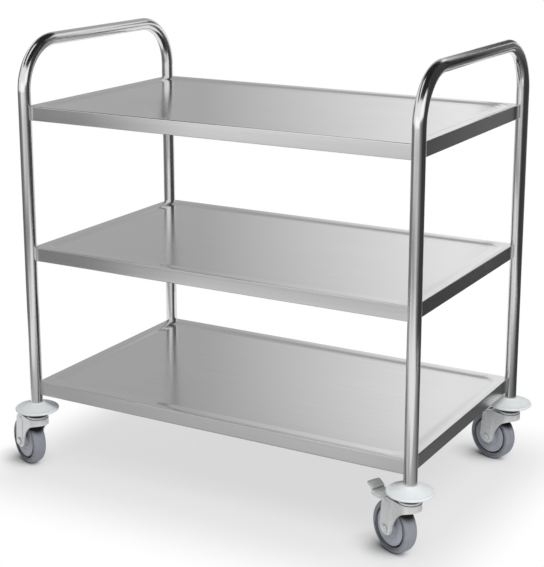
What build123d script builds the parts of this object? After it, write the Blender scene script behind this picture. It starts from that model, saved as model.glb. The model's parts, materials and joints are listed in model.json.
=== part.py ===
from build123d import *
import math
import os

# Three-tier stainless serving trolley on four swivel casters, in millimetres.
# X runs along the trolley from handle to handle, Y from front to rear and Z up.
# The origin is on the floor, midway between the four posts.

# Fits and clearances
RUN_FIT = 0.05  # radial play where a piece turns on a shaft
SNUG_FIT = 0.1  # radial play where a piece is pushed or screwed home
TOUCH_GAP = 0.3  # between curved faces that nearly touch
PLAY = 0.5  # end float between turning faces

# End frames: one bent tube each
POST_SPAN_X = 830.0
POST_SPAN_Y = 500.0
TUBE_D = 25.0
TUBE_WALL = 1.2
BEND_R = 95.0
POST_ABOVE_SHELF = 27.0  # straight post between the top shelf's rim and the bend

# Shelves: pressed sheet with a dished floor and folded edges
SHELF_NAMES = ("bottom_shelf", "middle_shelf", "top_shelf")
POST_BELOW_SHELF = 14.0  # tube foot to the underside of the bottom shelf
SHELF_PITCH = 282.5
SHELF_INSET = 2.0  # shelf faces lie this far inside the post axes
SHEET_T = 1.0
FOLD_H = 28.0
FOLD_INNER_R = 0.6
RETURN_W = 8.0
RIM_W = 16.0
DISH_DEPTH = 4.0
DISH_SLOPE = 14.0
DISH_CORNER_R = 32.0

# Shelf corner fixings, bolted from inside into rivet nuts in the posts
BRACKET_T = 2.0
BOLT_D = 6.0
BOLT_HEAD_AF = 10.0
BOLT_HEAD_H = 4.0
BOLT_REACH = 9.0  # thread held in the rivet nut
WASHER_W = 3.0
WASHER_T = 1.2
RIVET_NUT_WALL = 1.5
RIVET_NUT_L = 10.0
RIVET_FLANGE_W = 1.5
RIVET_FLANGE_T = 1.0

# Wheels
WHEEL_D = 100.0
WHEEL_W = 27.0
TYRE_T = 9.5
TYRE_SHOULDER_R = 8.5
RIM_LIP_W = 1.0
GROOVE_W = 4.0
GROOVE_DEPTH = 8.0
FACE_INSET = 1.5  # hub face behind the tyre's side
HUB_BOSS_D = 26.0
AXLE_D = 8.0
AXLE_HEAD_AF = 13.0
AXLE_HEAD_H = 5.3
AXLE_NUT_H = 7.0
THREAD_PAST_NUT = 2.0
SLEEVE_WALL = 2.0

# Forks and swivel heads
TRAIL = 40.0
FORK_T = 3.0
FORK_SIDE_GAP = 5.5  # tyre's side to the fork's inner face
FORK_INNER_R = 1.0
FORK_TIP_R = 17.0
FORK_TIP_LIFT = 4.0  # centre of a leg's round end above the axle
FORK_LIP_H = 13.0
FORK_EDGE_HOLLOW = 6.0  # depth of the curve in the legs' leading edges
EAR_R = 16.0
EAR_AHEAD = 3.0  # centre of the ear's round, ahead of the axle
CROWN_AHEAD = 6.0  # crown plate's rear edge, ahead of the axle
CROWN_GAP = 7.0  # wheel top to the crown's underside
KINGPIN_D = 10.0
KINGPIN_HEAD_D = 20.0
KINGPIN_HEAD_T = 3.0
RACE_GAP = 2.0
RACE_T = 3.0
RACE_INSET = 1.0  # race's edge inside the fork's outer faces
SKIRT_T = 1.5
BALL_D = 5.0
BALL_SPACE = 0.8  # between one ball and the next
BALL_MARGIN = 2.0  # between the balls and the skirt
COLLAR_AF = 22.0
COLLAR_H = 8.0
STEM_D = 12.0
INSERT_GAP = 4.0  # tube insert's end to the rivet nuts above it
STEM_SHORT = 2.0  # stem's end inside the tube insert's end

# Bumper discs
BUMPER_D = 88.0
BUMPER_RIM_T = 9.5
BUMPER_H = 21.0
BUMPER_LEDGE = 3.0  # top face showing round the post's foot
BUMPER_SAG = 1.5  # hollow of the sloping top

# Foot brakes
BRAKE_TRAVEL_DEG = 10.0
BRAKE_PIN_D = 4.0
BRAKE_PIN_BEHIND = 4.0  # brake pin behind the axle
BRAKE_PIN_CLEAR = 1.0  # wheel top to the brake pin
BRAKE_PIN_HEAD_D = 8.0
BRAKE_PIN_HEAD_T = 2.0
LEVER_T = 2.0
LEVER_SIDE_GAP = 4.0  # lever to the fork's inner face
LEVER_EYE_R = 5.0
LEVER_REACH = 48.0  # brake pin to the pedal's riser
LEVER_FLANGE_H = 8.0
LEVER_PLATE_START = 9.0  # brake pin to the plate's front edge
PEDAL_RISE = 6.0
PEDAL_L = 16.0
PEDAL_TILT_DEG = 30.0
PEDAL_LIP_H = 4.0
PEDAL_CORNER_R = 5.0
SHOE_L = 16.0
SHOE_SIDE_GAP = 2.0  # shoe to the lever's side flanges
SHOE_BACK = 14.0  # brake pin to the shoe's front face

# Corners: side in X, side in Y, trailing direction in degrees, foot brake or none
CORNERS = {
    "front_left": (-1, -1, 156.0, False),
    "front_right": (1, -1, 154.0, True),
    "rear_right": (1, 1, 162.0, True),
    "rear_left": (-1, 1, 158.0, False),
}

# Heights above the floor, stacked from the wheels up
AXLE_Z = WHEEL_D / 2
CROWN_UNDER = WHEEL_D + CROWN_GAP
CROWN_TOP = CROWN_UNDER + FORK_T
BALL_Z = CROWN_TOP + RACE_GAP / 2
RACE_UNDER = CROWN_TOP + RACE_GAP
RACE_TOP = RACE_UNDER + RACE_T
BUMPER_Z = RACE_TOP + COLLAR_H
FOOT_Z = BUMPER_Z + BUMPER_H
BOTTOM_SHELF_TOP = FOOT_Z + POST_BELOW_SHELF + FOLD_H
SHELF_TOPS = [BOTTOM_SHELF_TOP + n * SHELF_PITCH for n in range(len(SHELF_NAMES))]
HANDLE_Z = SHELF_TOPS[-1] + POST_ABOVE_SHELF + BEND_R

# Places worked out from the sizes above
POST_X = POST_SPAN_X / 2
POST_Y = POST_SPAN_Y / 2
TUBE_R = TUBE_D / 2
TUBE_BORE_R = TUBE_R - TUBE_WALL
SHELF_X = POST_SPAN_X - 2 * SHELF_INSET
SHELF_Y = POST_SPAN_Y - 2 * SHELF_INSET
DISH_X = SHELF_X - 2 * RIM_W
DISH_Y = SHELF_Y - 2 * RIM_W
FOLD_EDGE_R = FOLD_INNER_R + SHEET_T
RIVET_NUT_D = BOLT_D + 2 * RIVET_NUT_WALL
INSERT_L = POST_BELOW_SHELF + FOLD_H / 2 - RIVET_NUT_D / 2 - INSERT_GAP
SEAT_D = TUBE_R + RIVET_FLANGE_T  # post axis to the bracket's outer face
CLAMP_D = SEAT_D + BRACKET_T + WASHER_T  # post axis to the bolt head's face
WHEEL_R = WHEEL_D / 2
RIM_R = WHEEL_R - TYRE_T
LEG_END_Z = AXLE_Z + FORK_TIP_LIFT
FORK_IN = WHEEL_W / 2 + FORK_SIDE_GAP
FORK_OUT = FORK_IN + FORK_T
RACE_R = FORK_OUT - RACE_INSET
BALL_PATH_R = BALL_D / 2 + SNUG_FIT
BALL_RING_R = RACE_R - SKIRT_T - BALL_MARGIN - BALL_D / 2
BALL_COUNT = int(2 * math.pi * BALL_RING_R / (BALL_D + BALL_SPACE))
LEVER_HALF = FORK_IN - LEVER_SIDE_GAP
SHOE_W = 2 * (LEVER_HALF - LEVER_T - SHOE_SIDE_GAP)
BRAKE_PIN_BACK = TRAIL + BRAKE_PIN_BEHIND  # swivel axis to the brake pin
BRAKE_PIN_Z = WHEEL_D + BRAKE_PIN_CLEAR + BRAKE_PIN_D / 2
RISER_U = BRAKE_PIN_BACK + LEVER_REACH


def save(piece, label):
    """Names a finished piece and writes it to its own file."""
    piece.part.label = label
    export_step(piece.part, f"parts/{label}.step")


def bolt_plane(side_x, side_y, height):
    """On a post's axis, facing along the diagonal towards the shelf's middle."""
    diagonal = Vector(-side_x, -side_y, 0).normalized()
    return Plane(origin=(side_x * POST_X, side_y * POST_Y, height), x_dir=(0, 0, 1), z_dir=diagonal)


def bolt_planes():
    """One bolt plane for each corner of each shelf."""
    planes = []
    for top in SHELF_TOPS:
        for side_x, side_y, _, _ in CORNERS.values():
            planes.append(bolt_plane(side_x, side_y, top - FOLD_H / 2))
    return planes


def caster_plane(corner):
    """On the floor below a post: X points the way the wheel trails and Z points up."""
    side_x, side_y, degrees, _ = CORNERS[corner]
    turn = math.radians(degrees)
    trailing = (math.cos(turn), math.sin(turn), 0)
    return Plane(origin=(side_x * POST_X, side_y * POST_Y, 0), x_dir=trailing, z_dir=(0, 0, 1))


def side_plane(base, across=0.0):
    """A caster's upright middle plane: X trails and Y points up."""
    origin = base.from_local_coords((0, across, 0))
    return Plane(origin=origin, x_dir=base.x_dir, z_dir=-base.y_dir)


def up_plane(base, back, height):
    """A level plane behind a caster's swivel axis: X trails and Z points up."""
    return Plane(base.from_local_coords((back, 0, height)), x_dir=base.x_dir)


def wheel_plane(base):
    """Through a wheel's centre: X along the axle and Y up."""
    origin = base.from_local_coords((TRAIL, 0, AXLE_Z))
    return Plane(origin=origin, x_dir=base.y_dir, z_dir=base.x_dir)


def swivel_axis(base):
    return Axis(base.origin, base.z_dir)


def axle_axis(base):
    return Axis(base.from_local_coords((TRAIL, 0, AXLE_Z)), base.y_dir)


def axle_plane(base):
    """A wheel's own middle plane, facing along the axle."""
    return Plane(base.from_local_coords((TRAIL, 0, AXLE_Z)), x_dir=base.x_dir, z_dir=base.y_dir)


def end_frame(side):
    """A tube bent to an upside-down U, with a hole for each rivet nut."""
    with BuildPart() as frame:
        with BuildLine(Plane.YZ.offset(side * POST_X)):
            FilletPolyline(
                (-POST_Y, FOOT_Z),
                (-POST_Y, HANDLE_Z),
                (POST_Y, HANDLE_Z),
                (POST_Y, FOOT_Z),
                radius=BEND_R,
            )
        with BuildSketch(Plane((side * POST_X, -POST_Y, FOOT_Z))):
            Circle(TUBE_R)
            Circle(TUBE_BORE_R, mode=Mode.SUBTRACT)
        sweep()
        for top in SHELF_TOPS:
            for end in (-1, 1):
                with BuildSketch(bolt_plane(side, end, top - FOLD_H / 2)):
                    Circle(RIVET_NUT_D / 2 + SNUG_FIT)
                extrude(amount=SEAT_D, mode=Mode.SUBTRACT)
    return frame


def shelf(top):
    """A pressed tray: folded edges with an inward return, a flat rim and a dished floor."""
    under = top - FOLD_H
    wall_rise = math.hypot(DISH_SLOPE, DISH_DEPTH) / DISH_DEPTH * SHEET_T
    wall_foot = wall_rise - DISH_SLOPE / DISH_DEPTH * SHEET_T
    with BuildPart() as tray:
        with BuildSketch(Plane.XY.offset(under)):
            Rectangle(SHELF_X, SHELF_Y)
        extrude(amount=FOLD_H)
        fillet(tray.edges().group_by(Axis.Z)[-1], FOLD_EDGE_R)
        with BuildSketch(Plane.XY.offset(under)):
            Rectangle(SHELF_X - 2 * SHEET_T, SHELF_Y - 2 * SHEET_T)
        extrude(amount=FOLD_H - SHEET_T, mode=Mode.SUBTRACT)
        fillet(tray.edges().filter_by(Plane.XY).group_by(Axis.Z)[-2], FOLD_INNER_R)
        with BuildSketch(Plane.XY.offset(under)):
            Rectangle(SHELF_X - SHEET_T, SHELF_Y - SHEET_T)
            reach = SHEET_T + RETURN_W
            Rectangle(SHELF_X - 2 * reach, SHELF_Y - 2 * reach, mode=Mode.SUBTRACT)
        extrude(amount=SHEET_T)
        for grow_top, grow_foot, skin, mode in (
            (wall_rise, wall_foot, SHEET_T, Mode.ADD),
            (0.0, 0.0, 0.0, Mode.SUBTRACT),
        ):
            with BuildSketch(Plane.XY.offset(top)):
                RectangleRounded(DISH_X + 2 * grow_top, DISH_Y + 2 * grow_top, DISH_CORNER_R + grow_top)
            with BuildSketch(Plane.XY.offset(top - DISH_DEPTH - skin)):
                inset = DISH_SLOPE - grow_foot
                RectangleRounded(DISH_X - 2 * inset, DISH_Y - 2 * inset, DISH_CORNER_R - inset)
            loft(mode=mode)
        with BuildSketch(Plane.XY.offset(under)):
            with GridLocations(POST_SPAN_X, POST_SPAN_Y, 2, 2):
                Circle(TUBE_R + TOUCH_GAP)
        extrude(amount=FOLD_H, mode=Mode.SUBTRACT)
    return tray


def corner_brackets():
    """A flat plate across each shelf corner, welded to the folds and facing the post."""
    fold_in = SHELF_INSET + SHEET_T
    near = SEAT_D * math.sqrt(2) - fold_in
    far = (SEAT_D + BRACKET_T) * math.sqrt(2) - fold_in
    outline = [(fold_in, near), (near, fold_in), (far, fold_in), (fold_in, far)]
    with BuildPart() as brackets:
        for top in SHELF_TOPS:
            with BuildSketch(Plane.XY.offset(top - FOLD_H + SHEET_T)):
                for side_x, side_y, _, _ in CORNERS.values():
                    points = [(side_x * (POST_X - a), side_y * (POST_Y - b)) for a, b in outline]
                    Polygon(*points)
            extrude(amount=FOLD_H - 2 * SHEET_T - FOLD_INNER_R)
        for plane in bolt_planes():
            with BuildSketch(plane.offset(SEAT_D)):
                Circle(BOLT_D / 2 + SNUG_FIT)
            extrude(amount=BRACKET_T, mode=Mode.SUBTRACT)
    return brackets


def shelf_bolts():
    with BuildPart() as bolts:
        for plane in bolt_planes():
            with BuildSketch(plane.offset(CLAMP_D)):
                RegularPolygon(BOLT_HEAD_AF / 2, 6, major_radius=False)
            extrude(amount=BOLT_HEAD_H)
            with BuildSketch(plane.offset(SEAT_D - BOLT_REACH)):
                Circle(BOLT_D / 2)
            extrude(amount=CLAMP_D - SEAT_D + BOLT_REACH)
    return bolts


def shelf_washers():
    with BuildPart() as washers:
        for plane in bolt_planes():
            with BuildSketch(plane.offset(SEAT_D + BRACKET_T)):
                Circle(BOLT_D / 2 + SNUG_FIT + WASHER_W)
                Circle(BOLT_D / 2 + SNUG_FIT, mode=Mode.SUBTRACT)
            extrude(amount=WASHER_T)
    return washers


def rivet_nuts():
    with BuildPart() as nuts:
        for plane in bolt_planes():
            with BuildSketch(plane.offset(TUBE_R)):
                Circle(RIVET_NUT_D / 2 + RIVET_FLANGE_W)
            extrude(amount=RIVET_FLANGE_T)
            with BuildSketch(plane.offset(SEAT_D - RIVET_NUT_L)):
                Circle(RIVET_NUT_D / 2)
            extrude(amount=RIVET_NUT_L)
            with BuildSketch(plane.offset(SEAT_D - RIVET_NUT_L)):
                Circle(BOLT_D / 2 + SNUG_FIT)
            extrude(amount=RIVET_NUT_L, mode=Mode.SUBTRACT)
    return nuts


def tube_inserts():
    """Threaded plugs driven up into the post ends."""
    with BuildPart() as inserts:
        with BuildSketch(Plane.XY.offset(FOOT_Z)):
            with GridLocations(POST_SPAN_X, POST_SPAN_Y, 2, 2):
                Circle(TUBE_BORE_R - SNUG_FIT)
                Circle(STEM_D / 2 + SNUG_FIT, mode=Mode.SUBTRACT)
        extrude(amount=INSERT_L)
    return inserts


def bumper(base):
    """A round-edged disc clamped between the stem's collar and the post's foot."""
    rim_r = BUMPER_D / 2 - BUMPER_RIM_T / 2
    top_r = TUBE_R + BUMPER_LEDGE
    bore_r = STEM_D / 2 + SNUG_FIT
    rim_top = (rim_r, BUMPER_Z + BUMPER_RIM_T)
    with BuildPart() as disc:
        with BuildSketch(side_plane(base)):
            with BuildLine():
                Polyline((bore_r, FOOT_Z), (bore_r, BUMPER_Z), (rim_r, BUMPER_Z))
                ThreePointArc((rim_r, BUMPER_Z), (BUMPER_D / 2, BUMPER_Z + BUMPER_RIM_T / 2), rim_top)
                SagittaArc(rim_top, (top_r, FOOT_Z), BUMPER_SAG)
                Line((top_r, FOOT_Z), (bore_r, FOOT_Z))
            make_face()
        revolve(axis=swivel_axis(base))
    return disc


def stem(base):
    """Threaded stem with a hexagon collar, ending in the peened kingpin that carries the fork."""
    shank_r = KINGPIN_D / 2
    head_top = CROWN_UNDER - TOUCH_GAP
    with BuildPart() as pin:
        for height, end, radius in (
            (head_top - KINGPIN_HEAD_T, head_top, KINGPIN_HEAD_D / 2),
            (head_top, RACE_TOP, shank_r),
            (RACE_TOP, FOOT_Z + INSERT_L - STEM_SHORT, STEM_D / 2),
        ):
            with BuildSketch(base.offset(height)):
                Circle(radius)
            extrude(amount=end - height)
        with BuildSketch(base.offset(RACE_TOP)):
            RegularPolygon(COLLAR_AF / 2, 6, major_radius=False)
        extrude(amount=COLLAR_H)
    return pin


def upper_race(base):
    """The fixed cup of the swivel bearing, with a dust skirt and a groove for the balls."""
    with BuildPart() as race:
        with BuildSketch(base.offset(CROWN_TOP + PLAY)):
            Circle(RACE_R)
        extrude(amount=RACE_TOP - CROWN_TOP - PLAY)
        fillet(race.edges().sort_by(Axis.Z)[-1], SKIRT_T)
        with BuildSketch(base.offset(CROWN_TOP + PLAY)):
            Circle(RACE_R - SKIRT_T)
        extrude(amount=RACE_UNDER - CROWN_TOP - PLAY, mode=Mode.SUBTRACT)
        with BuildSketch(base.offset(RACE_UNDER)):
            Circle(KINGPIN_D / 2 + SNUG_FIT)
        extrude(amount=RACE_T, mode=Mode.SUBTRACT)
        with BuildSketch(side_plane(base)):
            with Locations((BALL_RING_R, BALL_Z)):
                Circle(BALL_PATH_R)
        revolve(axis=swivel_axis(base), mode=Mode.SUBTRACT)
    return race


def swivel_balls(base):
    with BuildPart(base.offset(BALL_Z)) as balls:
        with PolarLocations(BALL_RING_R, BALL_COUNT):
            Sphere(BALL_D / 2)
    return balls


def leg_tip(lip):
    """Where a straight edge from the fork's front lip would touch the round end of a leg."""
    from_end = Vector(*lip) - Vector(TRAIL, LEG_END_Z)
    turn = math.atan2(from_end.Y, from_end.X) + math.acos(FORK_TIP_R / from_end.length)
    return (TRAIL + FORK_TIP_R * math.cos(turn), LEG_END_Z + FORK_TIP_R * math.sin(turn))


def fork(base, braked):
    """A pressed steel fork: a crown with a ball groove, a front lip and two tapered legs."""
    tip_z = LEG_END_Z - FORK_TIP_R
    back = TRAIL + FORK_TIP_R
    lip = (-FORK_OUT, CROWN_TOP - FORK_LIP_H)
    side = side_plane(base)
    with BuildPart() as shell:
        with BuildSketch(base.offset(tip_z)):
            Circle(FORK_OUT)
            Rectangle(back, 2 * FORK_OUT, align=(Align.MIN, Align.CENTER))
        extrude(amount=CROWN_TOP - tip_z)
        fillet(shell.edges().group_by(Axis.Z)[-1], FORK_INNER_R + FORK_T)
        with BuildSketch(base.offset(tip_z)):
            Circle(FORK_IN)
            Rectangle(back, 2 * FORK_IN, align=(Align.MIN, Align.CENTER))
        extrude(amount=CROWN_UNDER - tip_z, mode=Mode.SUBTRACT)
        with BuildSketch(up_plane(base, TRAIL - CROWN_AHEAD, tip_z)):
            Rectangle(back, 2 * FORK_IN, align=(Align.MIN, Align.CENTER))
        extrude(amount=CROWN_TOP - tip_z, mode=Mode.SUBTRACT)
        with BuildSketch(side):
            with Locations((TRAIL, LEG_END_Z)):
                Circle(FORK_TIP_R)
            with Locations((TRAIL - EAR_AHEAD, CROWN_TOP - EAR_R)):
                Circle(EAR_R)
            with Locations((-FORK_OUT, CROWN_TOP)):
                Rectangle(FORK_T, FORK_LIP_H, align=(Align.MIN, Align.MAX))
            make_hull()
            with BuildLine():
                SagittaArc(lip, leg_tip(lip), FORK_EDGE_HOLLOW)
                Line(leg_tip(lip), lip)
            make_face(mode=Mode.SUBTRACT)
        extrude(amount=FORK_OUT, both=True, mode=Mode.INTERSECT)
        with BuildSketch(base.offset(CROWN_UNDER)):
            Circle(KINGPIN_D / 2 + RUN_FIT)
        extrude(amount=FORK_T, mode=Mode.SUBTRACT)
        with BuildSketch(side):
            with Locations((BALL_RING_R, BALL_Z)):
                Circle(BALL_PATH_R)
        revolve(axis=swivel_axis(base), mode=Mode.SUBTRACT)
        with BuildSketch(side):
            with Locations((TRAIL, AXLE_Z)):
                Circle(AXLE_D / 2 + SNUG_FIT)
            if braked:
                with Locations((BRAKE_PIN_BACK, BRAKE_PIN_Z)):
                    Circle(BRAKE_PIN_D / 2 + SNUG_FIT)
        extrude(amount=FORK_OUT, both=True, mode=Mode.SUBTRACT)
    return shell


def axle_bolt(base):
    middle = axle_plane(base)
    thread_end = -FORK_OUT - AXLE_NUT_H - THREAD_PAST_NUT
    with BuildPart() as bolt:
        with BuildSketch(middle.offset(FORK_OUT)):
            RegularPolygon(AXLE_HEAD_AF / 2, 6, major_radius=False)
        extrude(amount=AXLE_HEAD_H)
        with BuildSketch(middle.offset(thread_end)):
            Circle(AXLE_D / 2)
        extrude(amount=FORK_OUT - thread_end)
    return bolt


def axle_nut(base):
    middle = axle_plane(base)
    with BuildPart() as nut:
        with BuildSketch(middle.offset(-FORK_OUT - AXLE_NUT_H)):
            RegularPolygon(AXLE_HEAD_AF / 2, 6, major_radius=False)
            Circle(AXLE_D / 2 + SNUG_FIT, mode=Mode.SUBTRACT)
        extrude(amount=AXLE_NUT_H)
    return nut


def axle_sleeve(base):
    """The tube that the legs are clamped on and the hub turns on."""
    middle = axle_plane(base)
    with BuildPart() as sleeve:
        with BuildSketch(middle):
            Circle(AXLE_D / 2 + SNUG_FIT + SLEEVE_WALL)
            Circle(AXLE_D / 2 + SNUG_FIT, mode=Mode.SUBTRACT)
        extrude(amount=FORK_IN, both=True)
    return sleeve


def hub(base):
    """A moulded wheel centre with a boss, a flat face and a groove inside the rim lip."""
    bore_r = AXLE_D / 2 + SNUG_FIT + SLEEVE_WALL + RUN_FIT
    boss = FORK_IN - PLAY
    face = WHEEL_W / 2 - FACE_INSET
    groove_out = RIM_R - RIM_LIP_W
    groove_in = groove_out - GROOVE_W
    half = [
        (boss, bore_r),
        (boss, HUB_BOSS_D / 2),
        (face, HUB_BOSS_D / 2),
        (face, groove_in),
        (face - GROOVE_DEPTH, groove_in),
        (face - GROOVE_DEPTH, groove_out),
        (face, groove_out),
        (face, RIM_R),
    ]
    mirrored = [(-a, r) for a, r in reversed(half)]
    with BuildPart() as centre:
        with BuildSketch(wheel_plane(base)):
            Polygon(*half, *mirrored)
        revolve(axis=axle_axis(base))
    return centre


def tyre(base):
    with BuildPart() as band:
        with BuildSketch(wheel_plane(base)) as section:
            with Locations((0, RIM_R)):
                Rectangle(WHEEL_W, TYRE_T, align=(Align.CENTER, Align.MIN))
            fillet(section.vertices().group_by(Axis.Y)[-1], TYRE_SHOULDER_R)
        revolve(axis=axle_axis(base))
    return band


def pedal_outline(plate_top):
    """Side view of the pedal: a riser from the lever's plate, a tilted tread and a lip at its end."""
    tilt = math.radians(PEDAL_TILT_DEG)
    along = Vector(math.cos(tilt), math.sin(tilt))
    down = Vector(math.sin(tilt), -math.cos(tilt))
    brow = Vector(RISER_U - LEVER_T, plate_top + PEDAL_RISE)
    toe = brow + along * PEDAL_L
    lip_end = toe + down * PEDAL_LIP_H
    lip_foot = toe + down * LEVER_T - along * LEVER_T
    knee = brow + down * LEVER_T + along * (LEVER_T * (1 - math.sin(tilt)) / math.cos(tilt))
    foot_z = plate_top - LEVER_T
    points = [brow, toe, lip_end, lip_end - along * LEVER_T, lip_foot, knee]
    return [(RISER_U - LEVER_T, foot_z), *((p.X, p.Y) for p in points), (RISER_U, foot_z)]


def brake_lever(base):
    """A channel lever on the brake pin, with a tilted and lipped foot pedal at its end."""
    plate_top = BRAKE_PIN_Z
    outline = pedal_outline(plate_top)
    toe_u = max(u for u, _ in outline)
    with BuildPart() as lever:
        with BuildSketch(side_plane(base, LEVER_HALF)):
            Polygon(*outline, align=None)
        extrude(amount=2 * LEVER_HALF)
        with BuildSketch(up_plane(base, toe_u, 0)) as plan:
            Rectangle(toe_u, 2 * LEVER_HALF, align=(Align.MAX, Align.CENTER))
            fillet(plan.vertices().group_by(Axis.X)[-1], PEDAL_CORNER_R)
        extrude(amount=plate_top + PEDAL_RISE + PEDAL_L, mode=Mode.INTERSECT)
        for face in (LEVER_HALF, LEVER_T - LEVER_HALF):
            with BuildSketch(side_plane(base, face)):
                with Locations((BRAKE_PIN_BACK, BRAKE_PIN_Z)):
                    Circle(LEVER_EYE_R)
                with Locations((RISER_U, plate_top)):
                    Rectangle(LEVER_REACH / 2, LEVER_FLANGE_H, align=(Align.MAX, Align.MAX))
                make_hull()
                with Locations((BRAKE_PIN_BACK, BRAKE_PIN_Z)):
                    Circle(BRAKE_PIN_D / 2 + RUN_FIT, mode=Mode.SUBTRACT)
            extrude(amount=LEVER_T)
        with BuildSketch(up_plane(base, RISER_U, plate_top - LEVER_T)):
            Rectangle(LEVER_REACH - LEVER_PLATE_START, 2 * LEVER_HALF, align=(Align.MAX, Align.CENTER))
        extrude(amount=LEVER_T)
    return lever


def brake_shoe(base):
    """A block under the lever's plate, hollowed to meet the tyre when the pedal is down."""
    press = math.radians(BRAKE_TRAVEL_DEG)
    ahead = TRAIL - BRAKE_PIN_BACK
    below = BRAKE_PIN_Z - AXLE_Z
    wheel_u = BRAKE_PIN_BACK + ahead * math.cos(press) + below * math.sin(press)
    wheel_z = BRAKE_PIN_Z + ahead * math.sin(press) - below * math.cos(press)
    with BuildPart() as shoe:
        with BuildSketch(up_plane(base, BRAKE_PIN_BACK + SHOE_BACK, BRAKE_PIN_Z - LEVER_T)):
            Rectangle(SHOE_L, SHOE_W, align=(Align.MIN, Align.CENTER))
        extrude(amount=AXLE_Z + LEVER_T - BRAKE_PIN_Z)
        with BuildSketch(side_plane(base)):
            with Locations((wheel_u, wheel_z)):
                Circle(WHEEL_R + TOUCH_GAP)
        extrude(amount=SHOE_W, both=True, mode=Mode.SUBTRACT)
    return shoe


def brake_pin(base):
    """A pin through both fork ears, riveted over at its ends."""
    centre = (BRAKE_PIN_BACK, BRAKE_PIN_Z)
    with BuildPart() as pin:
        with BuildSketch(side_plane(base)):
            with Locations(centre):
                Circle(BRAKE_PIN_D / 2)
        extrude(amount=FORK_OUT, both=True)
        for face in (FORK_OUT + BRAKE_PIN_HEAD_T, -FORK_OUT):
            with BuildSketch(side_plane(base, face)):
                with Locations(centre):
                    Circle(BRAKE_PIN_HEAD_D / 2)
            extrude(amount=BRAKE_PIN_HEAD_T)
    return pin


os.makedirs("parts", exist_ok=True)

save(end_frame(-1), "left_end_frame")
save(end_frame(1), "right_end_frame")
for name, rim_z in zip(SHELF_NAMES, SHELF_TOPS):
    save(shelf(rim_z), name)
save(corner_brackets(), "corner_brackets")
save(shelf_bolts(), "shelf_bolts")
save(shelf_washers(), "shelf_washers")
save(rivet_nuts(), "rivet_nuts")
save(tube_inserts(), "tube_inserts")

for corner, (_, _, _, braked) in CORNERS.items():
    floor = caster_plane(corner)
    save(bumper(floor), f"{corner}_bumper")
    save(stem(floor), f"{corner}_stem")
    save(upper_race(floor), f"{corner}_upper_race")
    save(swivel_balls(floor), f"{corner}_swivel_balls")
    save(fork(floor, braked), f"{corner}_fork")
    save(axle_bolt(floor), f"{corner}_axle_bolt")
    save(axle_nut(floor), f"{corner}_axle_nut")
    save(axle_sleeve(floor), f"{corner}_axle_sleeve")
    save(hub(floor), f"{corner}_hub")
    save(tyre(floor), f"{corner}_tyre")
    if braked:
        save(brake_lever(floor), f"{corner}_brake_lever")
        save(brake_shoe(floor), f"{corner}_brake_shoe")
        save(brake_pin(floor), f"{corner}_brake_pin")
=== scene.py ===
import json
import math

import bmesh
import bpy
from bmesh.types import BMEdge, BMFace, BMVert
from mathutils import Matrix, Vector


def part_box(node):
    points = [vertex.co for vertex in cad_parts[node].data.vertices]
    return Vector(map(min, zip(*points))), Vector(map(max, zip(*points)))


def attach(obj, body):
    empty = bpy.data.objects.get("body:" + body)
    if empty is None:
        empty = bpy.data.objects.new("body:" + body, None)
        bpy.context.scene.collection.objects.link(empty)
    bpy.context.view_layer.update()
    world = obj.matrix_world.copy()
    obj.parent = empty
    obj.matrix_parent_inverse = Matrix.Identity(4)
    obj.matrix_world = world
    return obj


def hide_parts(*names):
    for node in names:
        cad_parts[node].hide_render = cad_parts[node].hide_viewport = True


# Looks of a three-tier stainless serving trolley, in metres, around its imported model.
# X runs along the trolley from handle to handle, Y from front to rear and Z up.
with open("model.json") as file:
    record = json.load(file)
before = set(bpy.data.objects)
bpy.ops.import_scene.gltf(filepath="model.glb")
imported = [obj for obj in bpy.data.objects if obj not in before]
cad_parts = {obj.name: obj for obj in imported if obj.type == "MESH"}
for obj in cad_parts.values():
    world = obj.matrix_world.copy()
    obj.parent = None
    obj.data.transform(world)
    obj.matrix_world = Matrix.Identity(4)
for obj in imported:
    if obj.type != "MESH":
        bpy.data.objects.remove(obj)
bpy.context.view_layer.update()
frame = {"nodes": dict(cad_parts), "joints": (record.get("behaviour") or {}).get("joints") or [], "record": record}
joints = {joint["name"]: joint for joint in frame["joints"]}

CORNERS = ("front_left", "front_right", "rear_right", "rear_left")
BRAKED = [corner for corner in CORNERS if f"{corner}_brake_press" in joints]
SHELVES = ("bottom_shelf", "middle_shelf", "top_shelf")
QUARTERS = ((-1, -1), (1, -1), (1, 1), (-1, 1))

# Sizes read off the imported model
frame_low, frame_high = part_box("right_end_frame")
bumper_low, bumper_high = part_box("front_right_bumper")
race_low, race_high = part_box("front_right_upper_race")
fork_low, fork_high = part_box("front_right_fork")
stem_low, stem_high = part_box("front_right_stem")
hub_low, hub_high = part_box("front_right_hub")
balls_low, balls_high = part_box("front_right_swivel_balls")
swivel = Vector(joints["front_right_swivel_turn"]["pos_m"])
axle = Vector(joints["front_right_wheel_turn"]["pos_m"])
brake_pivot = Vector(joints["front_right_brake_press"]["pos_m"])

POST_X, POST_Y = swivel.x, -swivel.y
TUBE_R = (frame_high.x - frame_low.x) / 2
FOOT_Z = frame_low.z
HANDLE_Z = frame_high.z - TUBE_R
TRAIL = (axle - swivel).to_2d().length
AXLE_Z = axle.z
RIM_R = (hub_high.z - hub_low.z) / 2
CROWN_Z = fork_high.z
FORK_TIP_R = 0.017
LEG_END_Z = fork_low.z + FORK_TIP_R
RACE_R = (race_high.x - race_low.x) / 2
BUMPER_R = (bumper_high.x - bumper_low.x) / 2
BALL_R = (balls_high.z - balls_low.z) / 2
BALL_Z = (balls_high.z + balls_low.z) / 2
PIN_U = (brake_pivot - swivel).to_2d().length
PIN_Z = brake_pivot.z

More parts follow.
